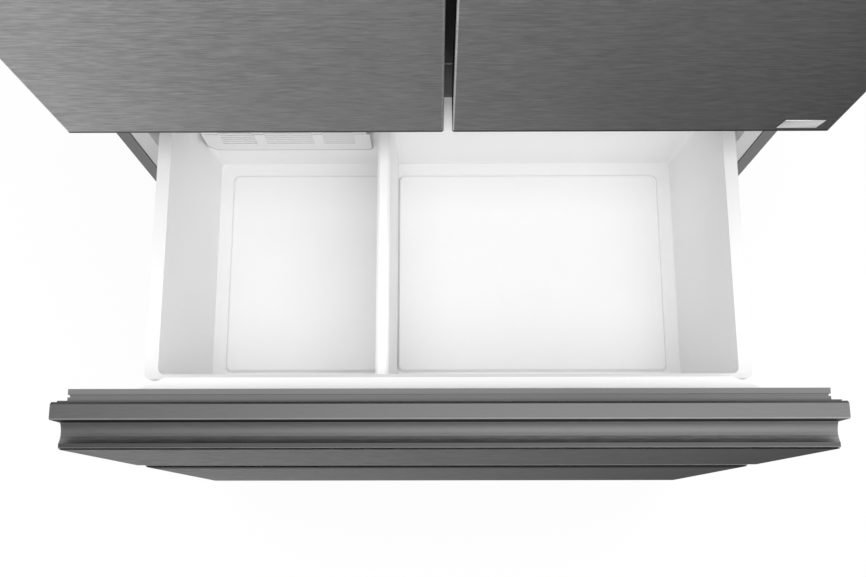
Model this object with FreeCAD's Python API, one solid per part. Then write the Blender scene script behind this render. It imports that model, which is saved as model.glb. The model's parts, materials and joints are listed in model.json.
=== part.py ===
"""French-door refrigerator with two freezer drawers, both drawers standing open.

Millimetres. +X is to the right, -Y is the front, +Z is up. The origin is on the floor,
under the middle of the box that holds the refrigerator with its drawers out.
"""

import FreeCAD
import Part
import math
import os

V = FreeCAD.Vector

# ---- driving dimensions: overall -------------------------------------------------
width = 908.0                 # over the cabinet and over the pair of doors
depth = 735.0                 # closed: door fronts to the rearmost cover
drawer_out = 371.5            # how far both drawers stand open
cabinet_top = 1800.0
cover_height = 29.0           # hinge covers above the cabinet
base_height = 40.0            # underside of the cabinet over the floor
front = (drawer_out - depth) / 2    # Y of the closed door fronts

# ---- doors -------------------------------------------------------------------------
door_bottom = 945.0
door_top_gap = 4.0
door_thickness = 54.0
door_gap = 10.0               # between the two doors
edge_radius = 3.0
hinge_inset = 14.0            # hinge axis from the door's outer edge
hinge_back = 30.0             # hinge axis behind the door front
hinge_pin_radius = 5.0
pin_fit = 0.05                # radial clearance of a turning fit
gasket_inset = 13.5
gasket_width = 13.0
gasket_depth = 14.6
seat_gap = 0.3                # clearance of soft or sliding faces
skin = 1.0                    # steel sheet
liner = 2.0                   # plastic sheet
bin_height = 105.0
bin_depth = 112.0
bins_per_door = 3

# ---- drawers -----------------------------------------------------------------------
drawer_gap = 14.5             # under the doors and between the drawer fronts
upper_bottom = 581.0
lower_bottom = 46.0
grip_height = 36.0            # bar top down to the grip channel
grip_depth = 31.5             # front face back to the bar
lip_width = 9.0
lip_seam = 0.8                # shadow gap between the front sheet and the lip
channel_sag = 5.0
box_rim_drop = 90.5           # bar top down to the box rim
box_front = 90.0              # rim behind the drawer front plane
box_length = 384.0
rim_half = 375.0
rim_width = 16.5
rim_skirt = 14.0
box_wall = 3.0
box_corner = 9.0              # corner radius of box, rim and floor panels
box_draft = 18.5              # how much narrower each side is at the floor
divider_x = -82.0
divider_thickness = 16.0
panel_raise = 6.0             # raised floor panels
inner_step = 15.6             # flat step of the drawer's inner liner behind its back
inner_step_half = 402.0
inner_margin = 34.5           # step inside the drawer front's top and bottom edges
inner_rise = 31.5             # raised middle of the inner liner behind the drawer's back
inner_base_half = 374.0
inner_top_half = 336.0
bar_lid = 5.0                 # metal over the grip bar
bar_chamfer = 3.0

# ---- slides ------------------------------------------------------------------------
slide_height = 44.0
slide_sheet = 1.5
slide_fit = 0.4
slide_length = 400.0
slide_lift = 28.0             # bracket foot up to the slide's underside
slide_face = 352.5            # inner slide's mounting face from the middle

# ---- cabinet -----------------------------------------------------------------------
flange_y = 69.0               # cabinet front face behind the door fronts
rear_cover = 16.0             # machine cover stands out behind the back panel
flange_width = 18.0
wall = 44.0                   # side wall with its insulation
ceiling = 45.0
back_wall = 58.0
beam_depth = 62.0
beam_low = 898.0              # beam under the doors
beam_high = 977.0
drawer_beam_low = 534.0       # beam between the drawers
drawer_beam_high = 609.0
sill_top = 78.0
machine_depth = 200.0
machine_top = 290.0
step_wall = 36.0
shelf_levels = (1352.0, 1545.0)
glass = 4.0
crisper_height = 158.0
crisper_top = 1150.0
foot_radius = 18.0
foot_height = 9.0
foot_stem = 6.0
foot_x = 412.0
foot_behind = 16.0            # foot centre behind the cabinet front face
roller_radius = 22.0
roller_width = 24.0
roller_x = 405.0
roller_from_back = 60.0
axle_radius = 4.0

# ---- worked out from the above -----------------------------------------------------
half = width / 2
flange = front + flange_y
rear = front + depth
panel_back = rear - rear_cover
upper_top = door_bottom - drawer_gap
lower_top = upper_bottom - drawer_gap
door_top = cabinet_top - door_top_gap
inner_half = half - wall
door_back = front + door_thickness
hinge_x = half - hinge_inset
hinge_y = front + hinge_back
fridge_ceiling = cabinet_top - ceiling
fridge_floor = beam_high + 8
liner_back = panel_back - back_wall
machine_front = panel_back - machine_depth
step_face = machine_front - step_wall
step_top = machine_top + step_wall
out_front = front - drawer_out


# ---- shape helpers -----------------------------------------------------------------
def box(x0, x1, y0, y1, z0, z1):
    """Box between two corners."""
    return Part.makeBox(x1 - x0, y1 - y0, z1 - z0, V(x0, y0, z0))


def cyl(radius, height, x, y, z, axis=V(0, 0, 1)):
    """Cylinder from a point along an axis."""
    return Part.makeCylinder(radius, height, V(x, y, z), axis)


def fuse(shapes):
    """One solid from touching solids."""
    shapes = list(shapes)
    if len(shapes) == 1:
        return shapes[0]
    return shapes[0].multiFuse(shapes[1:]).removeSplitter()


def cut(shape, tools):
    """Shape without the tools."""
    return shape.cut(list(tools))


def mirror(shape):
    """Mirror image across the middle plane."""
    return shape.mirror(V(0, 0, 0), V(1, 0, 0))


def pair(shape):
    """A shape and its mirror image."""
    return Part.makeCompound([shape, mirror(shape)])


def edges_along(shape, axis, test):
    """Straight edges parallel to an axis whose middle passes the test."""
    found = []
    for edge in shape.Edges:
        if edge.Curve.TypeId != "Part::GeomLine":
            continue
        run = edge.Vertexes[-1].Point - edge.Vertexes[0].Point
        if run.Length > 0 and run.cross(axis).Length < 1e-6 * run.Length:
            if test(edge.CenterOfMass):
                found.append(edge)
    return found


def round_box(x0, x1, y0, y1, z0, z1, radius):
    """Box with rounded upright edges."""
    plain = box(x0, x1, y0, y1, z0, z1)
    return plain.makeFillet(radius, edges_along(plain, V(0, 0, 1), lambda p: True))


def round_wire(x0, x1, y0, y1, z, radius):
    """Level rounded rectangle as a wire."""
    flat = round_box(x0, x1, y0, y1, z, z + 1, radius)
    face = [f for f in flat.Faces if abs(f.CenterOfMass.z - z) < 1e-6][0]
    return face.OuterWire


def tub(low, high, z0, z1, radius_low, radius_high):
    """Drafted solid between two rounded rectangles (x0, x1, y0, y1)."""
    bottom = round_wire(*low, z0, radius_low)
    top = round_wire(*high, z1, radius_high)
    return Part.makeLoft([bottom, top], True, True)


def ring(x0, x1, z0, z1, y0, y1, band):
    """Rectangular frame in the XZ plane."""
    outer = box(x0, x1, y0, y1, z0, z1)
    return outer.cut(box(x0 + band, x1 - band, y0 - 1, y1 + 1, z0 + band, z1 - band))


def prism_x(points, x0, x1):
    """Extrude a closed outline of (y, z) points or arcs along X."""
    face = Part.Face(outline(points, lambda a, b: V(x0, a, b)))
    return face.extrude(V(x1 - x0, 0, 0))


def prism_y(points, y0, y1):
    """Extrude a closed outline of (x, z) points along Y."""
    face = Part.Face(outline(points, lambda a, b: V(a, y0, b)))
    return face.extrude(V(0, y1 - y0, 0))


def prism_z(points, z0, z1):
    """Extrude a closed outline of (x, y) points along Z."""
    face = Part.Face(outline(points, lambda a, b: V(a, b, z0)))
    return face.extrude(V(0, 0, z1 - z0))


def outline(points, place):
    """Closed wire; an item of four numbers is an arc through (m, n) to (a, b)."""
    edges = []
    last = points[0]
    for item in list(points[1:]) + [points[0]]:
        if len(item) == 4:
            edges.append(Part.Arc(place(*last), place(*item[:2]), place(*item[2:])).toShape())
        else:
            edges.append(Part.LineSegment(place(*last), place(*item)).toShape())
        last = item[-2:]
    return Part.Wire(edges)


def save(name, shape):
    """Write one sub-part."""
    shape.exportStep("parts/" + name + ".step")


os.makedirs("parts", exist_ok=True)


# ---- cabinet -----------------------------------------------------------------------
def cabinet_shell():
    """Steel wrapper: two sides and the top, folded in at the front as a flange."""
    outer = box(-half, half, flange, panel_back, base_height, cabinet_top)
    inner = box(-half + skin, half - skin, flange + skin, panel_back + 1,
                base_height - 1, cabinet_top - skin)
    opening = box(-half + flange_width, half - flange_width, flange - 1, flange + 2 * skin,
                  base_height - 1, cabinet_top - flange_width)
    save("cabinet_shell", cut(outer, [inner, opening]))


def fridge_space(grow):
    """Space inside the fridge liner, grown by the liner's sheet."""
    return box(-inner_half - grow, inner_half + grow, flange - 5, liner_back + grow,
               fridge_floor - grow, fridge_ceiling + grow)


def freezer_space(grow):
    """Space inside the freezer liner: a step at the lower back clears the machinery."""
    upper = box(-inner_half - grow, inner_half + grow, flange - 5, liner_back + grow,
                step_top - grow, beam_low + 8 + grow)
    lower = box(-inner_half - grow, inner_half + grow, flange - 5, step_face + grow,
                sill_top - grow, step_top + 1)
    return fuse([upper, lower])


def lip_frame(low, high):
    """Flat lip of a liner, seen beside the steel flange."""
    edge = half - flange_width - 2
    return box(-edge, edge, flange, flange + liner, low, high)


def liners():
    """Plastic tubs of the two compartments, with their lips and shelf ribs."""
    fridge = fuse([fridge_space(liner),
                   lip_frame(beam_high, cabinet_top - flange_width - 2)])
    fridge = cut(fridge, [fridge_space(0), box(-half, half, flange - 10, flange, 0, cabinet_top)])
    ribs = []
    for level in shelf_levels + (crisper_top + 12,):
        rib = box(inner_half - 9, inner_half + 1, flange + 110, liner_back - 30,
                  level - 18, level - 12)
        ribs += [rib, mirror(rib)]
    save("fridge_liner", cut(fuse([fridge] + ribs), [middle_beam()]))
    freezer = fuse([freezer_space(liner), lip_frame(sill_top, beam_low)])
    front_cut = box(-half, half, flange - 10, flange, 0, cabinet_top)
    save("freezer_liner", cut(freezer, [freezer_space(0), front_cut, middle_beam()]))


def cabinet_foam():
    """Insulation between the wrapper and the liners."""
    block = box(-half + skin, half - skin, flange + skin + liner, panel_back - skin,
                base_height + 2, cabinet_top - skin)
    machine = box(-half, half, machine_front, panel_back + 1, base_height, machine_top)
    upper_beam = beam_box(beam_low + 10, fridge_floor - liner)
    sill = box(-half, half, flange, flange + beam_depth, base_height, sill_top)
    save("cabinet_foam", cut(block, [fridge_space(liner), freezer_space(liner), machine,
                                     upper_beam, sill]))


def beam_box(low, high):
    """Block of a cross beam between the side walls."""
    return box(-inner_half, inner_half, flange, flange + beam_depth, low, high)


def middle_beam():
    """Steel-faced beam between the refrigerator and the freezer."""
    middle = box(-half + flange_width + 2, half - flange_width - 2, flange, flange + liner,
                 beam_low + 0.5, beam_high - 0.5)
    return fuse([middle, beam_box(beam_low + 10, fridge_floor - liner)])


def cross_beams():
    """Steel-faced beams that the gaskets close against."""
    middle = middle_beam()
    lower = beam_box(drawer_beam_low, drawer_beam_high)
    nose = edges_along(lower, V(1, 0, 0), lambda p: p.y > flange + beam_depth - 1)
    lower = lower.makeFillet(6.0, nose)
    save("cross_beams", Part.makeCompound([middle, lower]))


def back_panel():
    """Steel sheet at the back with pressed upright ribs."""
    sheet = box(-half + skin, half - skin, panel_back - skin, panel_back,
                machine_top, cabinet_top - skin)
    ribs = []
    for place in (-300, -100, 100, 300):
        ribs.append(box(place - 12, place + 12, panel_back - skin / 2, panel_back + 3,
                        machine_top + 60, cabinet_top - 90))
    save("back_panel", fuse([sheet] + ribs))


foot_y = flange + foot_behind + foot_radius - 6
roller_y = panel_back - roller_from_back


def base_frame():
    """Steel base: side channels, front sill, compressor deck and roller axles."""
    side = box(half - 80, half - 2, flange + 4, panel_back - 4, base_height - 14, base_height)
    hollow = box(half - 78, half - 4, flange + 6, panel_back - 6, base_height - 15,
                 base_height - 2)
    well = box(roller_x - roller_width / 2 - 3, roller_x + roller_width / 2 + 3,
               roller_y - roller_radius - 4, roller_y + roller_radius + 4,
               base_height - 20, base_height + 1)
    stem_hole = cyl(foot_stem + pin_fit, 40, foot_x, foot_y, base_height - 30)
    boss = cyl(foot_stem + 5, 12, foot_x, foot_y, base_height - 13)
    side = cut(fuse([side.cut(hollow), boss]), [well, stem_hole])
    cheeks = []
    for place in (roller_x - roller_width / 2 - 3, roller_x + roller_width / 2 + 1):
        cheeks.append(box(place, place + 2, roller_y - 20, roller_y + 20,
                          roller_radius - 9, base_height))
    axle = cyl(axle_radius, roller_width + 6, roller_x - roller_width / 2 - 3, roller_y,
               roller_radius, V(1, 0, 0))
    side = fuse([side, axle] + cheeks)
    sill = box(-inner_half, inner_half, flange, flange + beam_depth, base_height, sill_top - 2)
    sill_front = box(-half + flange_width + 2, half - flange_width - 2, flange, flange + skin,
                     base_height, sill_top - 2)
    sill = fuse([sill, sill_front])
    deck = box(-half + 4, half - 4, machine_front, panel_back - 4, base_height - 2,
               base_height)
    deck_well = [well, mirror(well)]
    deck = cut(deck, deck_well)
    sheet = box(-half + 80, half - 80, flange + 4, machine_front, base_height - 2, base_height)
    save("base_frame", fuse([side, mirror(side), sill, deck, sheet]))


def toe_grille():
    """Plastic kick grille under the lower drawer, slotted for air."""
    plate = round_box(-half + 10, half - 10, flange - 30, flange - 24, 8, base_height + 2, 2.0)
    ledge = box(-half + 12, half - 12, flange - 25, flange + 4, base_height - 4, base_height)
    slots = []
    count = 14
    pitch = (width - 120) / count
    for number in range(count):
        left = -half + 60 + number * pitch
        for low in (14, 24):
            slots.append(box(left, left + pitch - 12, flange - 40, flange - 20, low, low + 5))
    save("toe_grille", cut(fuse([plate, ledge]), slots))


def machine_parts():
    """Compressor, condenser, its fan, drain pan, control box and the vented cover."""
    centre_y = machine_front + 95
    deck = base_height
    shell = cyl(72, 150, -250, centre_y, deck + 28)
    shell = shell.makeChamfer(28, [e for e in shell.Edges if e.Length > 400])
    feet = box(-330, -170, centre_y - 60, centre_y + 60, deck + 8, deck + 12)
    neck = cyl(30, 20, -250, centre_y, deck + 12)
    mounts = []
    for x in (-318, -182):
        for y in (centre_y - 48, centre_y + 48):
            mounts.append(cyl(9, 8, x, y, deck))
    relay = box(-182, -160, centre_y - 22, centre_y + 22, deck + 60, deck + 110)
    save("compressor", fuse([shell, neck, feet, relay] + mounts))

    fan_y = machine_front + 95
    save("condenser", condenser(fan_y))
    pan = tub((40, 320, fan_y - 80, fan_y + 80), (30, 330, fan_y - 86, fan_y + 86),
              deck, deck + 28, 8, 10)
    hollow = tub((43, 317, fan_y - 77, fan_y + 77), (33, 327, fan_y - 83, fan_y + 83),
                 deck + 3, deck + 29, 6, 8)
    save("drain_pan", pan.cut(hollow))

    shroud = box(-70, -62, fan_y - 75, fan_y + 75, deck, deck + 170)
    throat = cyl(68, 20, -76, fan_y, deck + 86, V(1, 0, 0))
    spokes = [box(-70, -66, fan_y - 75, fan_y + 75, deck + 80, deck + 92)]
    motor = cyl(20, 34, -104, fan_y, deck + 86, V(1, 0, 0))
    shaft = cyl(3, 22, -70, fan_y, deck + 86, V(1, 0, 0))
    save("condenser_fan_bracket", fuse([shroud.cut(throat), motor, shaft] + spokes))
    save("condenser_fan", fan(-58, fan_y, deck + 86, 62, 16, 3 + pin_fit, 7, V(1, 0, 0)))


def condenser(fan_y):
    """Finned tube block beside the fan, standing over the drain pan."""
    low = base_height + 34
    tubes = []
    for row in range(3):
        tubes.append(cyl(4, 250, 60, fan_y - 50 + row * 50, low + 70, V(1, 0, 0)))
    fins = []
    for number in range(4):
        x = 70 + number * 72
        fins.append(box(x, x + 1.5, fan_y - 70, fan_y + 70, low, low + 130))
    legs = [box(24, 28, fan_y - 70, fan_y + 70, base_height, low + 20),
            box(24, 72, fan_y - 70, fan_y + 70, low + 16, low + 20)]
    far = [box(334, 338, fan_y - 70, fan_y + 70, base_height, low + 20),
           box(284, 338, fan_y - 70, fan_y + 70, low + 16, low + 20)]
    return fuse(tubes + fins + legs + far)


def fan(x, y, z, radius, hub, bore, blades, axis):
    """Axial fan: a bored hub with twisted blades, turning about an axis."""
    body = cyl(hub, 16, 0, 0, 0)
    for number in range(blades):
        low = Part.makePolygon([V(hub - 3, -2, 2), V(radius, -14, 1), V(radius, 8, 1),
                                V(hub - 3, 6, 2), V(hub - 3, -2, 2)])
        blade = Part.Face(low).extrude(V(0, 0, 1.6))
        blade.rotate(V(0, 0, 8), V(1, 0, 0), 24)
        blade.rotate(V(0, 0, 0), V(0, 0, 1), 360.0 * number / blades)
        body = body.fuse(blade)
    body = body.cut(cyl(bore, 12, 0, 0, -1))
    body = body.common(cyl(radius, 40, 0, 0, -12))
    turn = FreeCAD.Rotation(V(0, 0, 1), axis)
    body.Placement = FreeCAD.Placement(V(x, y, z), turn)
    return body


def machine_cover():
    """Vented sheet over the machinery, with the mains cord's gland."""
    plate = box(-half + 8, half - 8, rear - 2, rear, base_height + 4, machine_top + 22)
    rim = box(-half + 8, half - 8, panel_back, rear, base_height + 4, machine_top + 22)
    rim = rim.cut(box(-half + 10, half - 10, panel_back - 1, rear - 2, base_height + 6,
                      machine_top + 20))
    slots = []
    for column in range(5):
        for row in range(8):
            left = -330 + column * 132
            low = base_height + 40 + row * 26
            slots.append(box(left, left + 112, rear - 5, rear + 1, low, low + 12))
    gland = cyl(12, rear_cover - 2, 400, panel_back + 1, base_height + 60, V(0, 1, 0))
    bore = cyl(5, 40, 400, panel_back - 5, base_height + 60, V(0, 1, 0))
    body = fuse([cut(fuse([plate, rim]), slots), gland])
    save("machine_cover", body.cut(bore))


cabinet_shell()
liners()
cabinet_foam()
cross_beams()
back_panel()
base_frame()
toe_grille()
machine_parts()
machine_cover()


# ---- inside the cabinet ------------------------------------------------------------
shelf_front = flange + 118
shelf_back = liner_back - 32
shelf_edge = inner_half - 3
duct_half = 90.0
duct_depth = 22.0


def shelves():
    """Two glass shelves and the glass crisper cover, each in its plastic frame."""
    frames = []
    panes = []
    for level in shelf_levels + (crisper_top + 12,):
        pane = (-shelf_edge + 10, shelf_edge - 10, shelf_front + 10, shelf_back - 10)
        outer = box(-shelf_edge, shelf_edge, shelf_front, shelf_back, level - 12, level + 2)
        nose = edges_along(outer, V(1, 0, 0), lambda p: p.y < shelf_front + 1)
        outer = outer.makeFillet(4.0, nose)
        rebate = box(*pane, level - glass, level + 3)
        window = box(pane[0] + 10, pane[1] - 10, pane[2] + 10, pane[3] - 10,
                     level - 20, level + 3)
        frames.append(cut(outer, [rebate, window]))
        panes.append(box(*pane, level - glass, level))
    save("shelf_frames", Part.makeCompound(frames))
    save("shelf_glass", Part.makeCompound(panes))


def crispers():
    """Two produce drawers that stand on the liner floor under their glass cover."""
    gap = 8.0
    x0, x1 = gap / 2, inner_half - 12
    y0, y1 = shelf_front + 6, shelf_back - 40
    z0, z1 = fridge_floor, fridge_floor + crisper_height
    outer = tub((x0 + 8, x1 - 8, y0 + 4, y1 - 10), (x0, x1, y0, y1), z0, z1, 12, 14)
    inner = tub((x0 + 11, x1 - 11, y0 + 7, y1 - 13), (x0 + 3, x1 - 3, y0 + 3, y1 - 3),
                z0 + 3, z1 + 1, 9, 11)
    pull = cyl(9, x1 - x0 - 120, x0 + 60, y0 + 2, z1 - 14, V(1, 0, 0))
    grip = fuse([outer, pull]).cut(inner)
    save("crispers", pair(grip))


def air_duct():
    """Duct tower on the back wall with its outlet slots."""
    tower = round_box(-duct_half, duct_half, liner_back - duct_depth, liner_back,
                      fridge_floor + 180, fridge_ceiling - 10, 8.0)
    slots = []
    for level in (1260, 1300, 1440, 1480, 1640, 1680):
        for side in (-1, 1):
            slots.append(box(side * 48 - 24, side * 48 + 24, liner_back - duct_depth - 1,
                             liner_back - duct_depth + 6, level, level + 7))
    save("air_duct", cut(tower, slots))
    lens = round_box(-150, 150, flange + 160, flange + 240, fridge_ceiling - 9,
                     fridge_ceiling, 10)
    save("light_lens", lens)


cover_y = liner_back - 78
fan_z = 700.0
evaporator_fan_radius = 52.0


def freezer_back():
    """Back cover of the freezer with its fan grille, the coil and the fan behind it."""
    plate = box(-inner_half + 1, inner_half - 1, cover_y, cover_y + 3, step_top,
                beam_low + 7)
    floor = box(-inner_half + 1, inner_half - 1, step_face - 3, cover_y + 1, step_top,
                step_top + 3)
    lips = []
    for level in (step_top + 60, 500, 830):
        lips.append(box(-300, 300, cover_y - 6, cover_y, level, level + 4))
    rings = []
    for radius in (16, 32, 48):
        hole = cyl(radius + 6, 10, 0, cover_y - 2, fan_z, V(0, 1, 0))
        rings.append(hole.cut(cyl(radius - 4, 12, 0, cover_y - 3, fan_z, V(0, 1, 0))))
    spider = []
    for turn in range(6):
        bar = box(-3, 3, cover_y, cover_y + 3, fan_z, fan_z + 56)
        bar.rotate(V(0, cover_y, fan_z), V(0, 1, 0), 60 * turn)
        spider.append(bar)
    plate = fuse([cut(plate, rings)] + spider + lips + [floor])
    save("freezer_back_cover", plate)

    motor = cyl(20, 24, 0, cover_y + 38, fan_z, V(0, 1, 0))
    shaft = cyl(3, 16, 0, cover_y + 24, fan_z, V(0, 1, 0))
    arms = [box(-90, 90, cover_y + 54, cover_y + 57, fan_z - 6, fan_z + 6)]
    for side in (-1, 1):
        arms.append(box(side * 90 - 6, side * 90 + 6, cover_y + 3, cover_y + 57,
                        fan_z - 6, fan_z + 6))
    save("evaporator_fan_bracket", fuse([motor, shaft] + arms))
    save("evaporator_fan", fan(0, cover_y + 34, fan_z, evaporator_fan_radius, 14,
                               3 + pin_fit, 5, V(0, -1, 0)))

    tubes = []
    low = step_top + 60
    for row in range(3):
        tubes.append(cyl(4, 560, -280, cover_y + 41, low + 22 + row * 55, V(1, 0, 0)))
    fins = []
    for number in range(5):
        x = -224 + number * 112
        fins.append(box(x, x + 1.5, cover_y + 16, cover_y + 66, low, low + 154))
    hangers = []
    for x in (-282, 278):
        hangers.append(box(x, x + 4, cover_y + 16, liner_back, low, low + 154))
    save("evaporator", fuse(tubes + fins + hangers))


# ---- hinges, rollers and feet ------------------------------------------------------
bush_depth = 16.0
plate_steel = 4.0
middle_plate_low = upper_top + 4.5
cap_height = 18.0             # end cap's plug inside the door skin
cap_lip = 1.2                 # cap's edge seen below and above the skin


def hinge_parts():
    """Top and middle door hinges with their pins, and the covers over the top ones."""
    plate_front = hinge_y - 12
    top_plate = round_box(hinge_x - 26, half - 10, plate_front, flange + 90, cabinet_top,
                          cabinet_top + plate_steel, 6)
    top_pin = cyl(hinge_pin_radius, bush_depth, hinge_x, hinge_y,
                  cabinet_top - bush_depth + plate_steel)
    top = fuse([top_plate, top_pin])

    low, high = cabinet_top, cabinet_top + cover_height
    cover = tub((hinge_x - 42, half - 1, plate_front - 8, flange + 112),
                (hinge_x - 34, half - 8, plate_front - 2, flange + 100), low, high, 10, 8)
    hollow = tub((hinge_x - 39, half - 4, plate_front - 5, flange + 109),
                 (hinge_x - 31, half - 11, plate_front + 1, flange + 97),
                 low - 1, high - 3, 8, 6)
    save("top_hinge_covers", pair(cover.cut(hollow)))

    arm = round_box(hinge_x - 12, hinge_x + 12, hinge_y - 12, flange, middle_plate_low,
                    middle_plate_low + plate_steel, 5)
    back = box(hinge_x - 12, hinge_x + 12, flange - 3, flange, upper_top - 8,
               door_bottom + 8)
    pin_low = middle_plate_low + plate_steel - 1
    pin = cyl(hinge_pin_radius, door_bottom + bush_depth - 2 - pin_low, hinge_x, hinge_y,
              pin_low)
    washer = cyl(9, door_bottom - seat_gap - pin_low, hinge_x, hinge_y, pin_low)
    middle = fuse([arm, back, pin, washer])
    save("door_hinges", Part.makeCompound([top, mirror(top), middle, mirror(middle)]))


def rollers_and_feet():
    """Rear rollers on their axles and screwed front levelling feet."""
    for side, name in ((-1, "left"), (1, "right")):
        tyre = cyl(roller_radius, roller_width, side * roller_x - roller_width / 2,
                   roller_y, roller_radius, V(1, 0, 0))
        rims = [e for e in tyre.Edges if e.Length > 6 * roller_radius
                and e.Curve.TypeId == "Part::GeomCircle"]
        tyre = tyre.makeChamfer(2.0, rims)
        bore = cyl(axle_radius + pin_fit, roller_width + 2,
                   side * roller_x - roller_width / 2 - 1, roller_y, roller_radius,
                   V(1, 0, 0))
        save("roller_" + name, tyre.cut(bore))
        pad = cyl(foot_radius, foot_height, side * foot_x, foot_y, 0)
        rim = [e for e in pad.Edges if abs(e.CenterOfMass.z) < 0.01 and e.Length > 50]
        pad = pad.makeFillet(2.0, rim)
        nut = Part.Face(Part.makePolygon(
            [V(side * foot_x + 10 * math.cos(math.radians(60 * n)),
               foot_y + 10 * math.sin(math.radians(60 * n)), foot_height)
             for n in range(7)])).extrude(V(0, 0, 6))
        stem = cyl(foot_stem, base_height - foot_height - 3, side * foot_x, foot_y,
                   foot_height)
        save("foot_" + name, fuse([pad, nut, stem]))


shelves()
crispers()
air_duct()
freezer_back()
hinge_parts()
rollers_and_feet()


# ---- doors -------------------------------------------------------------------------
door_side = half              # outer edge of the right door
door_inner = door_gap / 2     # inner edge of the right door
post_outer = inner_half - 10
post_inner = 48.0             # side posts stay clear of the folding centre bar
post_width = 34.0
post_depth = 78.0
mullion_half = 32.0
mullion_thickness = 18.0
mullion_axis_x = -38.0
mullion_axis_y = flange + 10.5
mullion_low = fridge_floor + 2
mullion_high = fridge_ceiling - 14
bin_levels = [door_bottom + 75 + number * 262 for number in range(bins_per_door)]


def door_block(x0, x1, y0, y1, z0, z1):
    """Door body with its four upright edges rounded."""
    return round_box(x0, x1, y0, y1, z0, z1, edge_radius)


def door_liner_shape():
    """Inner pan of the right door: flat flange, side posts, and top and bottom posts."""
    x0, x1 = door_inner + 5, door_side - 5
    z0, z1 = door_bottom + 6, door_top - 6
    plate = box(x0, x1, door_back - liner, door_back, z0, z1)
    low, high = fridge_floor + 4, fridge_ceiling - 6
    posts = []
    deep = door_back + post_depth
    draft = 10.0
    inner_post = [(post_inner, door_back - 1), (post_inner + draft, deep),
                  (post_inner + post_width - draft / 2, deep),
                  (post_inner + post_width + 4, door_back - 1)]
    outer_post = [(post_outer, door_back - 1), (post_outer - draft, deep),
                  (post_outer - post_width + draft / 2, deep),
                  (post_outer - post_width - 4, door_back - 1)]
    for points in (inner_post, outer_post):
        posts.append(prism_z(points, low, high))
    rails = []
    for base, tip in ((low, low + 24), (high - 24, high)):
        rails.append(box(post_inner + 6, post_outer - 6, door_back - 1, door_back + 40,
                         base, tip))
    return fuse([plate] + posts + rails)


def bin_shape(level):
    """Door bin between the side posts, with a rounded front and a rolled rim."""
    x0 = post_inner + post_width + 5
    x1 = post_outer - post_width - 5
    y0, y1 = door_back + seat_gap, door_back + bin_depth
    outer = tub((x0 + 3, x1 - 3, y0, y1 - 8), (x0, x1, y0, y1), level, level + bin_height,
                10, 14)
    inner = tub((x0 + 6, x1 - 6, y0 + 3, y1 - 11), (x0 + 3, x1 - 3, y0 + 3, y1 - 3),
                level + 3, level + bin_height + 1, 7, 11)
    rim = round_box(x0 - 1, x1 + 1, y0, y1 + 2, level + bin_height - 9,
                    level + bin_height, 12)
    lugs = []
    for x in (x0 - 1.2, x1 - 3.8):
        lugs.append(box(x, x + 5, y0 + 8, y0 + 50, level + 52, level + 62))
    return cut(fuse([outer, rim] + lugs), [inner])


def door(name, turn):
    """All pieces of one door; the left one is the mirror image of the right one."""
    lower, upper = door_bottom + cap_lip, door_top - cap_lip
    body = door_block(door_inner, door_side, front, door_back - liner, lower, upper)
    core = door_block(door_inner + skin, door_side - skin, front + skin,
                      door_back - liner, lower - 1, upper + 1)
    fold = box(door_inner + skin, door_side - skin, door_back - liner - skin,
               door_back - liner, lower, upper)
    fold = fold.cut(box(door_inner + 14, door_side - 14, front, door_back, lower - 1,
                        upper + 1))
    save(name + "_door_skin", turn(fuse([body.cut(core), fold])))
    foam = core.common(box(0, half, front, door_back - liner - skin,
                           door_bottom + cap_height, door_top - cap_height))
    save(name + "_door_foam", turn(foam))

    caps = []
    bush = hinge_pin_radius + pin_fit
    for low, high, hole, lip_low in (
            (door_bottom + 0.1, door_bottom + cap_height, door_bottom - 1, door_bottom),
            (door_top - cap_height, door_top - 0.1, door_top - bush_depth, upper)):
        lip = door_block(door_inner, door_side, front, door_back - liner, lip_low,
                         lip_low + cap_lip)
        plug = door_block(door_inner + skin, door_side - skin, front + skin,
                          door_back - liner, low, high)
        bore = cyl(bush, bush_depth + 1, hinge_x, hinge_y, hole)
        caps.append(cut(fuse([lip, plug]), [fold, bore]))
    save(name + "_door_caps", turn(Part.makeCompound(caps)))
    extra = mullion_arms() if name == "left" else []
    save(name + "_door_liner", fuse([turn(door_liner_shape())] + extra))
    seal = ring(door_inner + gasket_inset, door_side - gasket_inset,
                door_bottom + gasket_inset, door_top - gasket_inset - 6,
                door_back, door_back + gasket_depth, gasket_width)
    groove = ring(door_inner + gasket_inset + 3, door_side - gasket_inset - 3,
                  door_bottom + gasket_inset + 3, door_top - gasket_inset - 9,
                  door_back + 5, door_back + 9, gasket_width - 6)
    notch = ring(door_inner + gasket_inset - 1, door_side - gasket_inset + 1,
                 door_bottom + gasket_inset - 1, door_top - gasket_inset - 5,
                 door_back + 5, door_back + 8, 3.0)
    save(name + "_door_gasket", turn(cut(seal, [groove, notch])))
    save(name + "_door_bins", turn(Part.makeCompound([bin_shape(z) for z in bin_levels])))


def mullion_arms():
    """Bored arms on the left door's inner post that carry the folding bar's pins."""
    arms = []
    for level in (mullion_low + 120, mullion_high - 160):
        for low in (level - 12, level + 42):
            arm = box(-post_inner - 8, mullion_axis_x, mullion_axis_y - 5,
                      mullion_axis_y + 5, low, low + 9)
            arm = fuse([arm, cyl(5, 9, mullion_axis_x, mullion_axis_y, low)])
            arms.append(arm.cut(cyl(3 + pin_fit, 20, mullion_axis_x, mullion_axis_y,
                                    low - 5)))
    return arms


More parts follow.
